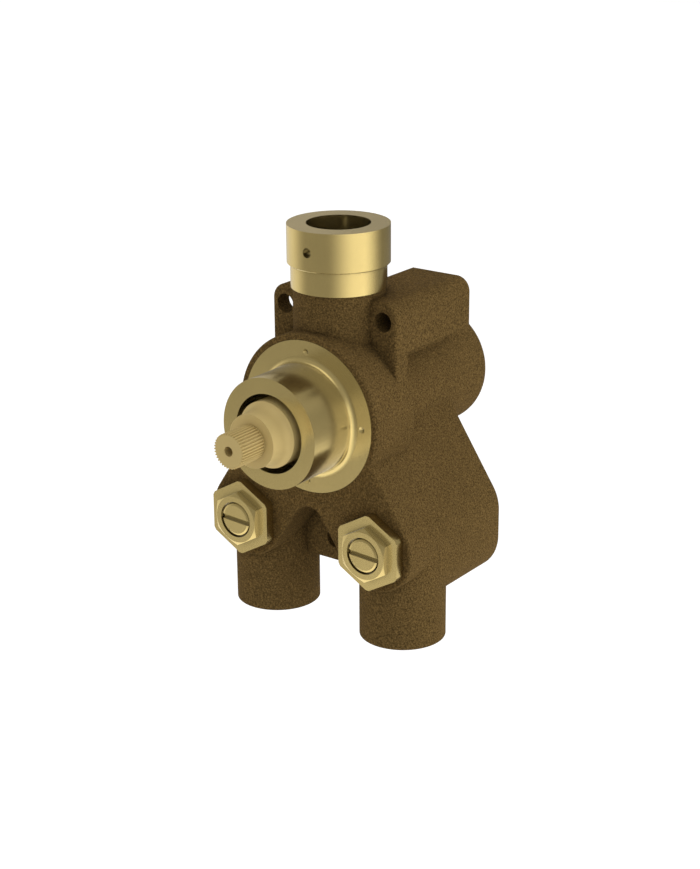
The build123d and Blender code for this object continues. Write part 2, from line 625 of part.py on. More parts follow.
def temperature_spindle():
    """Splined spindle with its seal grooves, captive shoulder and drive thread."""
    front = -SPLINE_FORWARD
    shank_y = -HEAD_NOSE_FORWARD - SPLINE_PROUD
    shoulder_y = -CAPTIVE_FORWARD + WASHER_THICK + TOUCH_GAP
    thread_y = shoulder_y + SHOULDER_THICK
    outline = [(0, shank_y), (SHANK_R, shank_y)]
    for y in SPINDLE_RING_YS:
        outline += ring_notch(SHANK_R, SPINDLE_GROOVE_R, SPINDLE_RING, y)
    outline += [(SHANK_R, shoulder_y), (NUT_CHAMBER_R - MOVING_GAP, shoulder_y)]
    outline += [(NUT_CHAMBER_R - MOVING_GAP, thread_y), (SPINDLE_THREAD_R, thread_y)]
    outline += [(SPINDLE_THREAD_R, -SPINDLE_END_FORWARD), (0, -SPINDLE_END_FORWARD)]
    spindle = turned_y(outline) + spline(front, shank_y)
    return spindle - rod_y(HANDLE_SCREW_R, front - PAST, front + HANDLE_SCREW_DEPTH)


def drive_nut():
    """Keyed nut on the spindle's thread, with a cup behind for the overload spring."""
    front = -DRIVE_NUT_FRONT_FORWARD
    back = front + DRIVE_NUT_LENGTH
    floor = -CUP_FLOOR_FORWARD
    bore_r = SPINDLE_THREAD_R + RUNNING_FIT
    outer_r = NUT_CHAMBER_R - RUNNING_FIT
    clip = notch(
        CUP_BORE_R, CUP_BORE_R + CLIP_BITE + GROOVE_PLAY,
        PLUNGER_CLIP_Y + CLIP_THICK / 2, CLIP_THICK / 2 + TOUCH_GAP,
    )
    outline = [(bore_r, floor), (CUP_BORE_R, floor), *clip, (CUP_BORE_R, back), (outer_r, back)]
    nut = turned_y([*outline, (outer_r, front), (bore_r, front)])
    middle = (front + back + KEY_SHORT) / 2 - PAST
    keys = Pos(0, middle, SPINDLE_Z) * Box(KEY_WIDTH, DRIVE_NUT_LENGTH - KEY_SHORT, 2 * KEY_TIP_R)
    return nut + (keys - rod_y(CUP_BORE_R + PAST, front, back))


def overload_plunger():
    """Disc that passes the spring's push on to the element's piston."""
    front = PLUNGER_CLIP_Y - PLUNGER_THICK
    disc = rod_y(CUP_BORE_R - RUNNING_FIT, front, PLUNGER_CLIP_Y)
    return disc + rod_y(2 * PISTON_R, PLUNGER_CLIP_Y, PISTON_Y)


def wax_element():
    """Sealed capsule: piston, guide neck, collar and bulb."""
    collar_y = SHUTTLE_WEB_Y - ELEMENT_COLLAR_THICK
    round_y = ELEMENT_END - ELEMENT_COLLAR_THICK / 2
    body = turned_y([
        (0, ELEMENT_FRONT), (ELEMENT_NECK_R, ELEMENT_FRONT), (ELEMENT_NECK_R, collar_y),
        (ELEMENT_COLLAR_R, collar_y), (ELEMENT_COLLAR_R, SHUTTLE_WEB_Y),
        (ELEMENT_BULB_R, SHUTTLE_WEB_Y), (ELEMENT_BULB_R, round_y),
        (ELEMENT_NECK_R, ELEMENT_END), (0, ELEMENT_END),
    ])
    return body + rod_y(PISTON_R, PISTON_Y + TOUCH_GAP, ELEMENT_FRONT + PAST)


def mixing_shuttle():
    """Sliding spool whose ends open hot and cold water; the element sits in its web."""
    outer = SLEEVE_BORE_R - RUNNING_FIT
    inner = outer - SHUTTLE_WALL
    web_back = SHUTTLE_WEB_Y + SHUTTLE_WEB_THICK
    hole_r = ELEMENT_BULB_R + ELEMENT_FIT
    spool = turned_y([
        (inner, SHUTTLE_FRONT_Y), (outer, SHUTTLE_FRONT_Y),
        *ring_notch(outer, SHUTTLE_GROOVE_R, SHUTTLE_RING, SHUTTLE_RING_Y),
        (outer, SHUTTLE_BACK_Y), (inner, SHUTTLE_BACK_Y),
        (inner, web_back), (hole_r, web_back), (hole_r, SHUTTLE_WEB_Y), (inner, SHUTTLE_WEB_Y),
    ])
    circle_r = (hole_r + inner) / 2 + FLOW_HOLE_R / 2
    for turn in range(FLOW_HOLES):
        angle = 2 * pi * turn / FLOW_HOLES
        x, z = circle_r * cos(angle), SPINDLE_Z + circle_r * sin(angle)
        spool -= rod_y(FLOW_HOLE_R, SHUTTLE_WEB_Y - PAST, web_back + PAST, x, z)
    return spool


def cartridge_cap():
    """Rear plug of the sleeve, with a pilot for the spring in front and a hexagon socket behind."""
    front = SLEEVE_WALL_END - CAP_THICK
    pilot_r = ELEMENT_BULB_R + ELEMENT_FIT
    cap = rod_y(pilot_r, front - CAP_PILOT, front) + rod_y(CAP_R, front, SLEEVE_WALL_END)
    socket_y = SLEEVE_WALL_END - CAP_SOCKET_DEPTH
    return cap - hexagon_y(CAP_SOCKET_FLATS, socket_y, SLEEVE_WALL_END + PAST, 0, SPINDLE_Z)


def stop_nut(x):
    """Two-stage hexagon nut that closes the stop valve bore and carries the slotted screw."""
    flange_y = FACE_Y - NUT_THICK
    nose_y = flange_y - NOSE_THICK
    end_y = FACE_Y + NUT_SPIGOT_LENGTH
    flange = hexagon_y(NUT_FLATS, flange_y, FACE_Y, x, STOP_Z)
    flange &= rod_y(NUT_CORNER_R, flange_y, FACE_Y, x, STOP_Z)
    nose = hexagon_y(NOSE_FLATS, nose_y, flange_y, x, STOP_Z)
    nose &= turned_y([
        (0, nose_y), (NOSE_CORNER_R - NOSE_SLOPE, nose_y), (NOSE_CORNER_R + NOSE_SLOPE, nose_y + NOSE_SLOPE),
        (NOSE_CORNER_R + NOSE_SLOPE, flange_y), (0, flange_y),
    ], x, STOP_Z)
    spigot_r = STOP_THREAD_R - SEATED_GAP
    spigot = turned_y([
        (0, FACE_Y), (spigot_r, FACE_Y), *ring_notch(spigot_r, NUT_GROOVE_R, NUT_RING, NUT_RING_Y),
        (spigot_r, end_y), (0, end_y),
    ], x, STOP_Z)
    bores = rod_y(SCREW_R + SCREW_GAP, nose_y - PAST, nose_y + SCREW_GAP_DEPTH, x, STOP_Z)
    bores += rod_y(SCREW_R + RUNNING_FIT, nose_y, SCREW_STEP_Y, x, STOP_Z)
    bores += rod_y(SCREW_SHOULDER_R + 2 * SEATED_GAP, SCREW_STEP_Y, end_y + PAST, x, STOP_Z)
    return flange + nose + spigot - bores


def stop_screw(x):
    """Slotted spindle that turns in the nut without rising and drives the plunger by its thread."""
    front = FACE_Y - NUT_THICK - NOSE_THICK
    shoulder_y = SCREW_STEP_Y + TOUCH_GAP
    stem_y = shoulder_y + SCREW_SHOULDER_THICK
    edge = 0.3 * SCREW_EDGE
    screw = turned_y([
        (0, front), (SCREW_R - SCREW_EDGE, front), (SCREW_R - edge, front + edge),
        (SCREW_R, front + SCREW_EDGE), *ring_notch(SCREW_R, SCREW_GROOVE_R, SCREW_RING, SCREW_RING_Y),
        (SCREW_R, shoulder_y),
        (SCREW_SHOULDER_R, shoulder_y), (SCREW_SHOULDER_R, stem_y), (STOP_STEM_R, stem_y),
        (STOP_STEM_R, STOP_STEM_END_Y), (0, STOP_STEM_END_Y),
    ], x, STOP_Z)
    slot = Box(2 * SCREW_R + PAST, 2 * SLOT_DEPTH, SLOT_WIDTH)
    return screw - Pos(x, front, STOP_Z) * Rot(0, SLOT_TILT, 0) * slot


def double_flat(radius, flats, front, back, x):
    """Round bar along Y with two level flats."""
    return rod_y(radius, front, back, x, STOP_Z) & block(
        x - radius, x + radius, front, back, STOP_Z - flats / 2, STOP_Z + flats / 2)


def stop_guide(x):
    """Ring pressed into the nut behind the screw's shoulder; its flats keep the plunger from turning."""
    front = SCREW_STEP_Y + SCREW_SHOULDER_THICK + 4 * TOUCH_GAP
    back = FACE_Y + NUT_SPIGOT_LENGTH + GUIDE_REACH
    ring = rod_y(SCREW_SHOULDER_R + 2 * SEATED_GAP - SEAL_GAP, front, back, x, STOP_Z)
    flats = PLUNGER_FLATS + 2 * RUNNING_FIT
    return ring - double_flat(PLUNGER_R + RUNNING_FIT, flats, front - PAST, back + PAST, x)


def stop_plunger(x):
    """Non-turning plunger with two flats, a disc and the stub that holds the washer."""
    front = STOP_PLUNGER_Y
    shank = double_flat(PLUNGER_R, PLUNGER_FLATS, front, STOP_DISC_Y, x)
    disc = rod_y(STOP_DISC_R, STOP_DISC_Y, STOP_WASHER_Y, x, STOP_Z)
    stub_end = STOP_WASHER_Y + STOP_WASHER_THICK + STOP_STUB_PROUD
    stub = rod_y(STOP_STUB_R, STOP_WASHER_Y, stub_end, x, STOP_Z)
    bore = rod_y(STOP_STEM_R + RUNNING_FIT, front - PAST, STOP_STEM_END_Y + 2 * MOVING_GAP, x, STOP_Z)
    return shank + disc + stub - bore


def strainer(x):
    """Slotted metal sleeve round the plunger."""
    front = FACE_Y + NUT_SPIGOT_LENGTH + SEATED_GAP
    back = STOP_SEAT_Y - SEATED_GAP
    sleeve = ring_y(STRAINER_R, STRAINER_R - STRAINER_WALL, front, back, x, STOP_Z)
    pitch = (back - front) / STRAINER_ROWS
    for row in range(STRAINER_ROWS):
        y = front + pitch * (row + 0.5)
        for turn in range(STRAINER_SLOTS // 2):
            angle = 360 * (turn + 0.5) / STRAINER_SLOTS
            slot = Box(3 * STRAINER_R, STRAINER_SLOT_SHARE * pitch, STRAINER_SLOT_WIDTH)
            sleeve -= Pos(x, y, STOP_Z) * Rot(0, angle, 0) * slot
    return sleeve


def check_body(x):
    """Check valve housing with its orifice at the bottom."""
    low = CHECK_LOW_Z
    seat = low + CHECK_FLOOR
    outer = CHECK_BORE_R - SEATED_GAP
    return turned_z([
        (CHECK_ORIFICE_R, low), (outer, low),
        *ring_notch(outer, CHECK_GROOVE_R, CHECK_RING, CHECK_RING_Z), (outer, CHECK_TOP_Z),
        (CHECK_CHAMBER_R, CHECK_TOP_Z), (CHECK_CHAMBER_R, seat), (CHECK_ORIFICE_R, seat),
    ], x, INLET_Y)


def check_guide(x):
    """Spoked plate that guides the poppet's stem."""
    top = CHECK_TOP_Z
    low = top - CHECK_GUIDE_THICK
    rim_r = CHECK_CHAMBER_R - SEAL_GAP
    rim = rod_z(rim_r, low, top, x, INLET_Y) - rod_z(rim_r - CHECK_RIM, low - PAST, top + PAST, x, INLET_Y)
    hub = rod_z(CHECK_HUB_R, top - CHECK_HUB_LENGTH, top, x, INLET_Y)
    reach = rim_r - CHECK_RIM / 2
    for turn in range(3):
        spoke = Pos(reach / 2, 0, 0) * Box(reach, CHECK_SPOKE, CHECK_GUIDE_THICK)
        rim += Pos(x, INLET_Y, (low + top) / 2) * Rot(0, 0, 120 * turn) * spoke
    return rim + hub - rod_z(CHECK_STEM_R + RUNNING_FIT, low - CHECK_HUB_LENGTH, top + PAST, x, INLET_Y)


def check_poppet(x):
    """Disc and stem that lift when water flows in."""
    head_low = CHECK_SEAL_Z + CHECK_SEAL_THICK
    head_top = head_low + CHECK_HEAD_THICK
    return turned_z([
        (0, head_low), (CHECK_HEAD_R, head_low), (CHECK_HEAD_R, head_top), (CHECK_STEM_R, head_top),
        (CHECK_STEM_R, CHECK_STEM_TOP_Z), (0, CHECK_STEM_TOP_Z),
    ], x, INLET_Y)


def clip_ring(bore_r, thick):
    """Flat open ring on the origin that snaps into a groove in a bore."""
    outer, inner = bore_r + CLIP_BITE, bore_r + CLIP_BITE - CLIP_RIM
    ring = Cylinder(outer, thick) - Cylinder(inner, thick + PAST)
    return ring - block(inner / 2, outer + PAST, -CLIP_GAP / 2, CLIP_GAP / 2, -thick, thick)


# Places inside the assemblies
COLLAR_RING_Z = NECK_TOP_Z - SPIGOT_LENGTH + COLLAR_RING_RISE
BONNET_RING_Y = COUNTERBORE_Y + BONNET_RING_INSET
SPINDLE_RING_YS = [inset - HEAD_NOSE_FORWARD for inset in SPINDLE_RING_INSETS]
CLIP_FRONT_Y = -CAPTIVE_FORWARD + WASHER_THICK + SHOULDER_THICK + 5 * TOUCH_GAP
PLUNGER_CLIP_Y = -DRIVE_NUT_FRONT_FORWARD + DRIVE_NUT_LENGTH - PLUNGER_INSET
PISTON_Y = PLUNGER_CLIP_Y + PUSHER_LENGTH
KEY_TIP_R = NUT_CHAMBER_R - RUNNING_FIT + KEY_HEIGHT - SEATED_GAP
HOT_GAP_Y = HOT_SEAT_Y + SHUTTLE_GAP / 2
COLD_GAP_Y = COLD_SEAT_Y - SHUTTLE_GAP / 2
SHUTTLE_FRONT_Y = HOT_SEAT_Y + SHUTTLE_GAP
SHUTTLE_BACK_Y = COLD_SEAT_Y - SHUTTLE_GAP
SHUTTLE_RING_Y = (SHUTTLE_FRONT_Y + SHUTTLE_BACK_Y) / 2
SHUTTLE_WEB_Y = SHUTTLE_RING_Y - SHUTTLE_WEB_THICK / 4
SCREW_STEP_Y = FACE_Y - NUT_THICK - NOSE_THICK + SCREW_JOURNAL
SCREW_RING_Y = SCREW_STEP_Y - SCREW_RING_INSET
NUT_RING_Y = FACE_Y + NUT_RING_INSET
STOP_WASHER_Y = STOP_SEAT_Y - STOP_LIFT - STOP_WASHER_THICK
STOP_DISC_Y = STOP_WASHER_Y - STOP_DISC_THICK
STOP_STEM_END_Y = STOP_DISC_Y + STEM_BITE
STOP_PLUNGER_Y = SCREW_STEP_Y + SCREW_SHOULDER_THICK + TOUCH_GAP + MOVING_GAP
CHECK_RING_Z = CHECK_LOW_Z + CHECK_LENGTH / 2
CHECK_SEAL_Z = CHECK_LOW_Z + CHECK_FLOOR + TOUCH_GAP
CHECK_STEM_TOP_Z = CHECK_TOP_Z - CHECK_HUB_LENGTH + CHECK_STEM_BITE
COLLAR_GROOVE_R = SPIGOT_R + SEATED_GAP - 2 * COLLAR_RING
BONNET_GROOVE_R = THREAD_BORE_R - 2 * BONNET_RING
SLEEVE_SEAL_R = MAIN_BORE_R - 2 * SLEEVE_RING
SPINDLE_GROOVE_R = SHANK_R + RUNNING_FIT - 2 * SPINDLE_RING
SHUTTLE_GROOVE_R = SLEEVE_BORE_R - 2 * SHUTTLE_RING
NUT_GROOVE_R = STOP_THREAD_R - 2 * NUT_RING
SCREW_GROOVE_R = SCREW_R + RUNNING_FIT - 2 * SCREW_RING
CHECK_GROOVE_R = CHECK_BORE_R - 2 * CHECK_RING


def build_outlet():
    """Casting, collar and bonnet."""
    save("valve_body", valve_body())
    save("outlet_collar", outlet_collar())
    save("collar_oring", rubber_ring_z(COLLAR_GROOVE_R, COLLAR_RING, COLLAR_RING_Z))
    save("bonnet", bonnet())
    save("bonnet_oring", rubber_ring_y(BONNET_GROOVE_R, BONNET_RING, BONNET_RING_Y))


def build_regulator():
    """The cartridge's front: sleeve, head, spindle and what the spindle drives."""
    save("cartridge_sleeve", cartridge_sleeve())
    rings = [rubber_ring_y(SLEEVE_SEAL_R, SLEEVE_RING, y) for y in SEAL_LANDS]
    save("sleeve_orings", Compound(children=rings))
    save("cartridge_head", cartridge_head())
    save("temperature_spindle", temperature_spindle())
    rings = [rubber_ring_y(SPINDLE_GROOVE_R, SPINDLE_RING, y) for y in SPINDLE_RING_YS]
    save("spindle_orings", Compound(children=rings))
    washer_y = -CAPTIVE_FORWARD
    washer_r = NUT_CHAMBER_R - 2 * SEATED_GAP
    save("thrust_washer", ring_y(washer_r, SHANK_R + MOVING_GAP, washer_y, washer_y + WASHER_THICK))
    clip = Rot(90, 0, 0) * clip_ring(NUT_CHAMBER_R, CLIP_THICK)
    save("spindle_clip", Pos(0, CLIP_FRONT_Y + CLIP_THICK / 2, SPINDLE_Z) * clip)
    save("drive_nut", drive_nut())
    plunger_front = PLUNGER_CLIP_Y - PLUNGER_THICK
    spring_r = (SPINDLE_THREAD_R + CUP_BORE_R) / 2
    spring_front = -CUP_FLOOR_FORWARD
    save("overload_spring", coil_y(spring_r, OVERLOAD_WIRE, spring_front, plunger_front, OVERLOAD_TURNS))
    save("overload_plunger", overload_plunger())
    clip = Rot(90, 0, 0) * clip_ring(CUP_BORE_R, CLIP_THICK - TOUCH_GAP)
    save("plunger_clip", Pos(0, PLUNGER_CLIP_Y + (CLIP_THICK + TOUCH_GAP) / 2, SPINDLE_Z) * clip)


def build_mixer():
    """The cartridge's back: element, shuttle, seats, return spring and cap."""
    save("wax_element", wax_element())
    save("mixing_shuttle", mixing_shuttle())
    save("shuttle_oring", rubber_ring_y(SHUTTLE_GROOVE_R, SHUTTLE_RING, SHUTTLE_RING_Y))
    seat_r = SLEEVE_BORE_R - SEAL_GAP
    save("hot_seat", ring_y(seat_r, ELEMENT_NECK_R + MOVING_GAP, HOT_SEAT_Y - SEAT_RING_THICK, HOT_SEAT_Y))
    save("cold_seat", ring_y(seat_r, COLD_SEAT_BORE_R, COLD_SEAT_Y, COLD_SEAT_Y + SEAT_RING_THICK))
    spring_r = ELEMENT_BULB_R + 2 * MOVING_GAP + RETURN_WIRE / 2
    spring_y = SHUTTLE_WEB_Y + SHUTTLE_WEB_THICK
    spring_end = SLEEVE_WALL_END - CAP_THICK
    save("return_spring", coil_y(spring_r, RETURN_WIRE, spring_y, spring_end, RETURN_TURNS))
    save("cartridge_cap", cartridge_cap())


def build_stop(name, x):
    """One stop valve with its strainer."""
    save(f"{name}_stop_nut", stop_nut(x))
    save(f"{name}_nut_oring", rubber_ring_y(NUT_GROOVE_R, NUT_RING, NUT_RING_Y, x, STOP_Z))
    save(f"{name}_stop_screw", stop_screw(x))
    save(f"{name}_screw_oring", rubber_ring_y(SCREW_GROOVE_R, SCREW_RING, SCREW_RING_Y, x, STOP_Z))
    save(f"{name}_stop_guide", stop_guide(x))
    save(f"{name}_stop_plunger", stop_plunger(x))
    back = STOP_WASHER_Y + STOP_WASHER_THICK
    inner = STOP_STUB_R + TOUCH_GAP
    save(f"{name}_stop_washer", ring_y(STOP_DISC_R - SEATED_GAP, inner, STOP_WASHER_Y, back, x, STOP_Z))
    save(f"{name}_strainer", strainer(x))


def build_check(name, x):
    """One check valve, held up in its inlet by a clip."""
    save(f"{name}_check_body", check_body(x))
    save(f"{name}_check_oring", rubber_ring_z(CHECK_GROOVE_R, CHECK_RING, CHECK_RING_Z, x, INLET_Y))
    clip = clip_ring(CHECK_BORE_R, CHECK_CLIP_THICK - 2 * TOUCH_GAP)
    save(f"{name}_check_clip", Pos(x, INLET_Y, CHECK_CLIP_Z + CHECK_CLIP_THICK / 2) * clip)
    save(f"{name}_check_guide", check_guide(x))
    save(f"{name}_check_poppet", check_poppet(x))
    seal_top = CHECK_SEAL_Z + CHECK_SEAL_THICK
    save(f"{name}_check_seal", rod_z(CHECK_HEAD_R - SEATED_GAP, CHECK_SEAL_Z, seal_top, x, INLET_Y))
    spring_low = seal_top + CHECK_HEAD_THICK + TOUCH_GAP
    spring_high = CHECK_TOP_Z - CHECK_GUIDE_THICK - TOUCH_GAP
    coil = coil_z(CHECK_HUB_R + CHECK_RIM, CHECK_WIRE, spring_high - spring_low, CHECK_TURNS)
    save(f"{name}_check_spring", Pos(x, INLET_Y, spring_low) * coil)


os.makedirs("parts", exist_ok=True)
build_outlet()
build_regulator()
build_mixer()
for side_name, side_sign in SIDES:
    build_stop(side_name, side_sign * STOP_SPREAD)
    build_check(side_name, side_sign * STOP_SPREAD)
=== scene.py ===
import json
from math import cos, pi, radians, sin

import bpy
from mathutils import Matrix, Vector


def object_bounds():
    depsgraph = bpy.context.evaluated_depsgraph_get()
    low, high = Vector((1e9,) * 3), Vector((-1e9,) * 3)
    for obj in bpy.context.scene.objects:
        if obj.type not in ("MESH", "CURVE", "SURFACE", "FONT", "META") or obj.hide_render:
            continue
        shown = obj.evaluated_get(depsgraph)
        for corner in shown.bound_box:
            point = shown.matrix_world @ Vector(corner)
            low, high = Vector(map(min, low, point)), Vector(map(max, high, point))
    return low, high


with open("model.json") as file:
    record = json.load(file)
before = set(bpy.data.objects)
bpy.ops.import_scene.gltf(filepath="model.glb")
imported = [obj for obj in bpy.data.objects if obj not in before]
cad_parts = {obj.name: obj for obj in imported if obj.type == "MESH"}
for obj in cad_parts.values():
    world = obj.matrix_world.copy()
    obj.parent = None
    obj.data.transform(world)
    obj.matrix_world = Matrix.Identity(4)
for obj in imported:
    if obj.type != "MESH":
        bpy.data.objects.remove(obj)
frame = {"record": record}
CAD_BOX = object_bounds()

# Camera, solved from the photograph: metres and radians in the part's own frame
CAMERA_AT = Vector((0.373106, -0.497680, 0.146934))
CAMERA_YAW = 0.6378
CAMERA_PITCH = 0.3460
CAMERA_ROLL = -0.0073
FOCAL_PIXELS = 1855.8
PHOTO_HEIGHT = 869.0
SENSOR = 36.0

# Studio: metres, and degrees from the camera's side to the right and above the level
FLOOR_DROP = 0.30         # from the inlets' ends: the part hangs clear, as the photo shows no shadow
FLOOR_REACH = 4.0
FLOOR_COLOUR = 0.80
FLOOR_GLOW = 0.45
SOFT_LIGHT = 0.74         # world's grey for the light that falls on the part
MIDDLE_Z = -0.07          # height that the cards and the lamp turn round
CARD_COLUMNS, CARD_ROWS = 48, 24
CARDS = (                 # name, azimuth stops, elevation stops, distance, grey
    ("front_card", (-122, -76, -26, 38), (-58, -9, 50, 80), 0.55, 0.28),
    ("back_card", (54, 110, 165, 215), (-55, -5, 50, 80), 0.55, 0.20),
    ("left_card", (-190, -170, -95, -60), (-55, -5, 50, 80), 0.60, 0.78),
    ("top_card", (-181, -180, 180, 181), (10, 32, 48, 74), 0.50, 0.35),
)
KEY_AZIMUTH, KEY_ELEVATION = 74, 2
KEY_DISTANCE = 1.3
KEY_SIZE = (0.9, 1.2)
KEY_WATTS = 9.2

# Colours, linear. A painted reflection colour is what a surface shows in another metal's mirror image
# in place of its own colour.
BRONZE = (0.166, 0.104, 0.036)
BRONZE_EDGE = (0.60, 0.42, 0.22)
BRONZE_PAINTED_REFLECTION = (0.120, 0.088, 0.055)
BRASS = (0.830, 0.638, 0.250)
BRASS_PAINTED_REFLECTION = (0.66, 0.62, 0.51)
SATIN = (0.720, 0.550, 0.225)
COPPER = (0.75, 0.42, 0.26)
STEEL = (0.62, 0.61, 0.58)
RUBBER = (0.03, 0.03, 0.03)
WHITE_PLASTIC = (0.78, 0.77, 0.73)
SATIN_NODES = ("cartridge_head", "temperature_spindle")

# Grain and marks: noise scale per metre, and bump height in metres
SAND_SCALE, SAND_BUMP = 1850.0, 0.0006
CAST_PATCH_SCALE = 45.0
TOOL_MARK_SCALE, TOOL_MARK_BUMP = 700.0, 0.00004
TURNED_PATCH_SCALE = 60.0
SKIN_SCALE, SKIN_BUMP = 1200.0, 0.00005

# Painted shade in corners and round seated pieces: how far round a point it looks for other surfaces,
# and its tone in the deepest corners
CAST_PAINTED_SHADE_REACH, CAST_PAINTED_SHADE = 0.006, 0.42
BRASS_PAINTED_SHADE_REACH, BRASS_PAINTED_SHADE, SATIN_PAINTED_SHADE = 0.003, 0.55, 0.85


def material(name):
    """New node material: its nodes, links and principled shader."""
    mat = bpy.data.materials.new(name)
    mat.use_nodes = True
    nodes, links = mat.node_tree.nodes, mat.node_tree.links
    return mat, nodes, links, nodes["Principled BSDF"]


def noise(nodes, links, coords, scale, detail, roughness):
    """Noise in the object's own coordinates, per metre."""
    node = nodes.new("ShaderNodeTexNoise")
    node.inputs["Scale"].default_value = scale
    node.inputs["Detail"].default_value = detail
    node.inputs["Roughness"].default_value = roughness
    links.new(coords, node.inputs["Vector"])
    return node.outputs["Fac"]


def ramp(nodes, links, value, stops):
    """Colour ramp over a value."""
    node = nodes.new("ShaderNodeValToRGB")
    while len(node.color_ramp.elements) < len(stops):
        node.color_ramp.elements.new(0.5)
    for element, (place, colour) in zip(node.color_ramp.elements, stops):
        element.position = place
        element.color = (*colour, 1.0)
    links.new(value, node.inputs["Fac"])
    return node.outputs["Color"]


def scaled(colour, factor):
    """Colour lighter or darker by a factor."""
    return tuple(channel * factor for channel in colour)


def painted_corner_shade(nodes, links, reach, darkest):
    """Painted shade in corners and round seated pieces: darkest deep inside, one in the open."""
    node = nodes.new("ShaderNodeAmbientOcclusion")
    node.samples = 8
    node.inputs["Distance"].default_value = reach
    span = nodes.new("ShaderNodeMapRange")
    span.inputs["From Min"].default_value = 0.25
    span.inputs["From Max"].default_value = 0.90
    span.inputs["To Min"].default_value = darkest
    links.new(node.outputs["AO"], span.inputs["Value"])
    return span.outputs["Result"]


def times(nodes, links, colour, factor):
    """Colour multiplied by a factor or by another colour."""
    mix = nodes.new("ShaderNodeMix")
    mix.data_type = "RGBA"
    mix.blend_type = "MULTIPLY"
    mix.inputs["Factor"].default_value = 1.0
    links.new(colour, mix.inputs["A"])
    links.new(factor, mix.inputs["B"])
    return mix.outputs["Result"]


def bump(nodes, links, height, strength, distance, shader):
    """Raise the shader's surface by a height."""
    node = nodes.new("ShaderNodeBump")
    node.inputs["Strength"].default_value = strength
    node.inputs["Distance"].default_value = distance
    links.new(height, node.inputs["Height"])
    links.new(node.outputs["Normal"], shader.inputs["Normal"])


def painted_reflection_colour(nodes, links, colour, paler):
    """Colour of a surface, and a paler painted reflection colour in its place where another metal
    mirrors it: two tints don't add up.
    """
    mix = nodes.new("ShaderNodeMix")
    mix.data_type = "RGBA"
    mix.inputs["B"].default_value = (*paler, 1.0)
    links.new(nodes.new("ShaderNodeLightPath").outputs["Is Glossy Ray"], mix.inputs["Factor"])
    links.new(colour, mix.inputs["A"])
    return mix.outputs["Result"]


def cast_metal():
    """Sand-cast bronze: fine grain that darkens in its pits, broad tone changes, rough skin."""
    mat, nodes, links, shader = material("cast_bronze")
    coords = nodes.new("ShaderNodeTexCoord").outputs["Object"]
    grain = noise(nodes, links, coords, SAND_SCALE, 3.0, 0.6)
    patch = noise(nodes, links, coords, CAST_PATCH_SCALE, 3.0, 0.5)
    pits = ramp(nodes, links, grain, [
        (0.36, scaled(BRONZE, 0.54)), (0.46, scaled(BRONZE, 0.87)), (0.54, scaled(BRONZE, 1.10)),
        (0.64, scaled(BRONZE, 1.62)),
    ])
    tone = ramp(nodes, links, patch, [(0.30, (0.92, 0.92, 0.92)), (0.70, (1.0, 1.0, 1.0))])
    clean = times(nodes, links, pits, tone)
    # Painted shade darkens the bronze's colour in corners and round seated pieces.
    colour = times(nodes, links, clean, painted_corner_shade(nodes, links, CAST_PAINTED_SHADE_REACH, CAST_PAINTED_SHADE))
    # Mirror images of the bronze show a painted reflection colour instead of its own.
    links.new(painted_reflection_colour(nodes, links, colour, BRONZE_PAINTED_REFLECTION), shader.inputs["Base Color"])
    shader.inputs["Specular Tint"].default_value = (*BRONZE_EDGE, 1.0)
    bump(nodes, links, grain, 1.0, SAND_BUMP, shader)
    shader.inputs["Metallic"].default_value = 0.35
    shader.inputs["Roughness"].default_value = 0.75
    shader.inputs["Specular IOR Level"].default_value = 0.05
    return mat


def turned_metal(name, colour, roughness, metallic=1.0, darkest=BRASS_PAINTED_SHADE):
    """Machined metal: faint tool marks in the roughness and the bump, slight tone changes."""
    mat, nodes, links, shader = material(name)
    coords = nodes.new("ShaderNodeTexCoord").outputs["Object"]
    marks = noise(nodes, links, coords, TOOL_MARK_SCALE, 4.0, 0.6)
    patch = noise(nodes, links, coords, TURNED_PATCH_SCALE, 2.0, 0.5)
    tone = ramp(nodes, links, patch, [(0.25, scaled(colour, 0.95)), (0.75, scaled(colour, 1.03))])
    # Painted shade darkens the metal's colour in corners and round seated pieces.
    shaded_tone = times(nodes, links, tone, painted_corner_shade(nodes, links, BRASS_PAINTED_SHADE_REACH, darkest))
    # Mirror images of the metal show a paler painted reflection colour instead of its own.
    links.new(painted_reflection_colour(nodes, links, shaded_tone, BRASS_PAINTED_REFLECTION), shader.inputs["Base Color"])
    rough = nodes.new("ShaderNodeMapRange")
    rough.inputs["To Min"].default_value = roughness - 0.04
    rough.inputs["To Max"].default_value = roughness + 0.05
    links.new(marks, rough.inputs["Value"])
    links.new(rough.outputs["Result"], shader.inputs["Roughness"])
    bump(nodes, links, marks, 0.12, TOOL_MARK_BUMP, shader)
    shader.inputs["Metallic"].default_value = metallic
    return mat


def plain(name, colour, roughness):
    """Moulded rubber or plastic with a fine skin."""
    mat, nodes, links, shader = material(name)
    coords = nodes.new("ShaderNodeTexCoord").outputs["Object"]
    skin = noise(nodes, links, coords, SKIN_SCALE, 3.0, 0.5)
    tone = ramp(nodes, links, skin, [(0.3, scaled(colour, 0.85)), (0.7, colour)])
    links.new(tone, shader.inputs["Base Color"])
    bump(nodes, links, skin, 0.2, SKIN_BUMP, shader)
    shader.inputs["Roughness"].default_value = roughness
    return mat


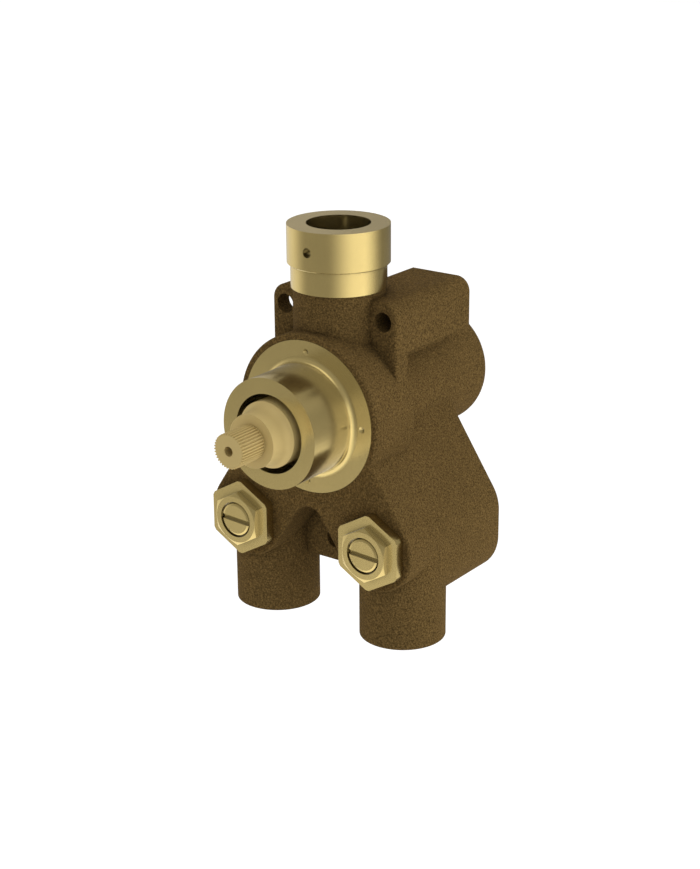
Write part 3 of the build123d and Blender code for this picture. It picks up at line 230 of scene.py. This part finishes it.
def dress():
    """Give every CAD node its material by the record's slot, and the satin pieces their own."""
    slots = {entry["node"]: entry["material_slot"] for entry in frame["record"]["subparts"]}
    looks = {
        "cast_bronze": cast_metal(),
        "machined_brass": turned_metal("machined_brass", BRASS, 0.22),
        "satin_brass": turned_metal("satin_brass", SATIN, 0.60, 0.5, SATIN_PAINTED_SHADE),
        "element_copper": turned_metal("element_copper", COPPER, 0.30),
        "spring_steel": turned_metal("spring_steel", STEEL, 0.28),
        "black_rubber": plain("black_rubber", RUBBER, 0.55),
        "white_plastic": plain("white_plastic", WHITE_PLASTIC, 0.40),
    }
    for node in SATIN_NODES:
        slots[node] = "satin_brass"
    for node, slot in slots.items():
        piece = bpy.data.objects.get(node)
        if piece is None:
            continue
        piece.data.materials.clear()
        piece.data.materials.append(looks[slot])


def camera():
    """Camera at the photograph's place."""
    forward = Vector((-sin(CAMERA_YAW) * cos(CAMERA_PITCH), cos(CAMERA_YAW) * cos(CAMERA_PITCH),
                      -sin(CAMERA_PITCH)))
    level = Vector((cos(CAMERA_YAW), sin(CAMERA_YAW), 0.0))
    upright = level.cross(forward)
    right = level * cos(CAMERA_ROLL) + upright * sin(CAMERA_ROLL)
    up = upright * cos(CAMERA_ROLL) - level * sin(CAMERA_ROLL)
    turn = Matrix((right, up, -forward)).transposed().to_4x4()
    data = bpy.data.cameras.new("camera")
    data.sensor_fit = "AUTO"
    data.sensor_width = SENSOR
    data.lens = FOCAL_PIXELS / PHOTO_HEIGHT * SENSOR
    data.clip_start = 0.01
    eye = bpy.data.objects.new("camera", data)
    eye.matrix_world = Matrix.Translation(CAMERA_AT) @ turn
    bpy.context.scene.collection.objects.link(eye)
    bpy.context.scene.camera = eye


def toward(azimuth, elevation):
    """Unit vector from the part to a place in the studio."""
    angle = radians(azimuth) + CAMERA_YAW - pi / 2
    level = cos(radians(elevation))
    return Vector((cos(angle) * level, sin(angle) * level, sin(radians(elevation))))


def fade(value, stops):
    """Nought outside the four rising stops, one between the middle two, and a smooth slope between."""
    out_low, in_low, in_high, out_high = stops
    rise = min(max((value - out_low) / (in_low - out_low), 0.0), 1.0)
    fall = min(max((out_high - value) / (out_high - in_high), 0.0), 1.0)
    share = min(rise, fall)
    return share * share * (3 - 2 * share)


def card_mesh(name, azimuths, elevations, distance):
    """Grid bent round the part, with each point's share of the card's grey."""
    middle = Vector((0.0, 0.0, MIDDLE_Z))
    verts, shares, faces = [], [], []
    for row in range(CARD_ROWS + 1):
        elevation = elevations[0] + (elevations[3] - elevations[0]) * row / CARD_ROWS
        for column in range(CARD_COLUMNS + 1):
            azimuth = azimuths[0] + (azimuths[3] - azimuths[0]) * column / CARD_COLUMNS
            verts.append(middle + toward(azimuth, elevation) * distance)
            shares.append(fade(azimuth, azimuths) * fade(elevation, elevations))
    for row in range(CARD_ROWS):
        for column in range(CARD_COLUMNS):
            corner = row * (CARD_COLUMNS + 1) + column
            above = corner + CARD_COLUMNS + 1
            faces.append((corner, corner + 1, above + 1, above))
    mesh = bpy.data.meshes.new(name)
    mesh.from_pydata(verts, [], faces)
    layer = mesh.color_attributes.new("share", "FLOAT_COLOR", "POINT")
    for point, share in zip(layer.data, shares):
        point.color = (share, share, share, 1.0)
    return mesh


def curved_card(name, azimuths, elevations, distance, shade):
    """Grey studio card with soft edges, which only mirror images show."""
    mesh = card_mesh(name, azimuths, elevations, distance)
    obj = bpy.data.objects.new(name, mesh)
    bpy.context.scene.collection.objects.link(obj)
    mat = bpy.data.materials.new(name)
    mat.use_nodes = True
    nodes, links = mat.node_tree.nodes, mat.node_tree.links
    nodes.clear()
    grey = nodes.new("ShaderNodeEmission")
    grey.inputs["Strength"].default_value = shade
    clear = nodes.new("ShaderNodeBsdfTransparent")
    attribute = nodes.new("ShaderNodeAttribute")
    attribute.attribute_name = "share"
    mix = nodes.new("ShaderNodeMixShader")
    links.new(attribute.outputs["Fac"], mix.inputs["Fac"])
    links.new(clear.outputs[0], mix.inputs[1])
    links.new(grey.outputs[0], mix.inputs[2])
    out = nodes.new("ShaderNodeOutputMaterial")
    links.new(mix.outputs[0], out.inputs["Surface"])
    mesh.materials.append(mat)
    obj.visible_camera = False
    obj.visible_diffuse = False
    obj.visible_shadow = False


def key_lamp():
    """Soft area lamp on the right, which mirror images don't show."""
    data = bpy.data.lights.new("key", "AREA")
    data.shape = "RECTANGLE"
    data.size, data.size_y = KEY_SIZE
    data.energy = KEY_WATTS
    obj = bpy.data.objects.new("key", data)
    out = toward(KEY_AZIMUTH, KEY_ELEVATION)
    obj.location = Vector((0.0, 0.0, MIDDLE_Z)) + out * KEY_DISTANCE
    obj.rotation_euler = out.to_track_quat("Z", "Y").to_euler()
    obj.visible_camera = False
    obj.visible_glossy = False
    bpy.context.scene.collection.objects.link(obj)


def white_share(nodes, links):
    """One for the rays that see the white backdrop: camera, glossy and transmission rays."""
    path = nodes.new("ShaderNodeLightPath")
    share = path.outputs["Is Camera Ray"]
    for ray in ("Is Glossy Ray", "Is Transmission Ray"):
        either = nodes.new("ShaderNodeMath")
        either.operation = "MAXIMUM"
        links.new(share, either.inputs[0])
        links.new(path.outputs[ray], either.inputs[1])
        share = either.outputs[0]
    return share


def backdrop_world():
    """White world for what the camera and the metal see, and a soft grey for the rest."""
    world = bpy.data.worlds.new("studio")
    bpy.context.scene.world = world
    world.use_nodes = True
    nodes, links = world.node_tree.nodes, world.node_tree.links
    nodes.clear()
    white = nodes.new("ShaderNodeBackground")
    white.inputs["Color"].default_value = (1.0, 1.0, 1.0, 1.0)
    soft = nodes.new("ShaderNodeBackground")
    soft.inputs["Color"].default_value = (SOFT_LIGHT, SOFT_LIGHT, SOFT_LIGHT, 1.0)
    mix = nodes.new("ShaderNodeMixShader")
    links.new(white_share(nodes, links), mix.inputs["Fac"])
    links.new(soft.outputs[0], mix.inputs[1])
    links.new(white.outputs[0], mix.inputs[2])
    out = nodes.new("ShaderNodeOutputWorld")
    links.new(mix.outputs[0], out.inputs["Surface"])


def floor():
    """Pale floor under the part, white where the camera or the metal sees it lit."""
    mesh = bpy.data.meshes.new("floor")
    low = CAD_BOX[0][2] - FLOOR_DROP
    corners = [(x * FLOOR_REACH, y * FLOOR_REACH, low) for x, y in ((-1, -1), (1, -1), (1, 1), (-1, 1))]
    mesh.from_pydata(corners, [], [(0, 1, 2, 3)])
    obj = bpy.data.objects.new("floor", mesh)
    bpy.context.scene.collection.objects.link(obj)
    mat, nodes, links, shader = material("floor")
    shader.inputs["Base Color"].default_value = (FLOOR_COLOUR, FLOOR_COLOUR, FLOOR_COLOUR, 1.0)
    shader.inputs["Roughness"].default_value = 0.9
    glow = nodes.new("ShaderNodeMath")
    glow.operation = "MULTIPLY"
    glow.inputs[1].default_value = FLOOR_GLOW
    links.new(white_share(nodes, links), glow.inputs[0])
    shader.inputs["Emission Color"].default_value = (1.0, 1.0, 1.0, 1.0)
    links.new(glow.outputs[0], shader.inputs["Emission Strength"])
    mesh.materials.append(mat)


bpy.context.scene.view_settings.view_transform = "Standard"
dress()
camera()
backdrop_world()
floor()
for card in CARDS:
    curved_card(*card)
key_lamp()
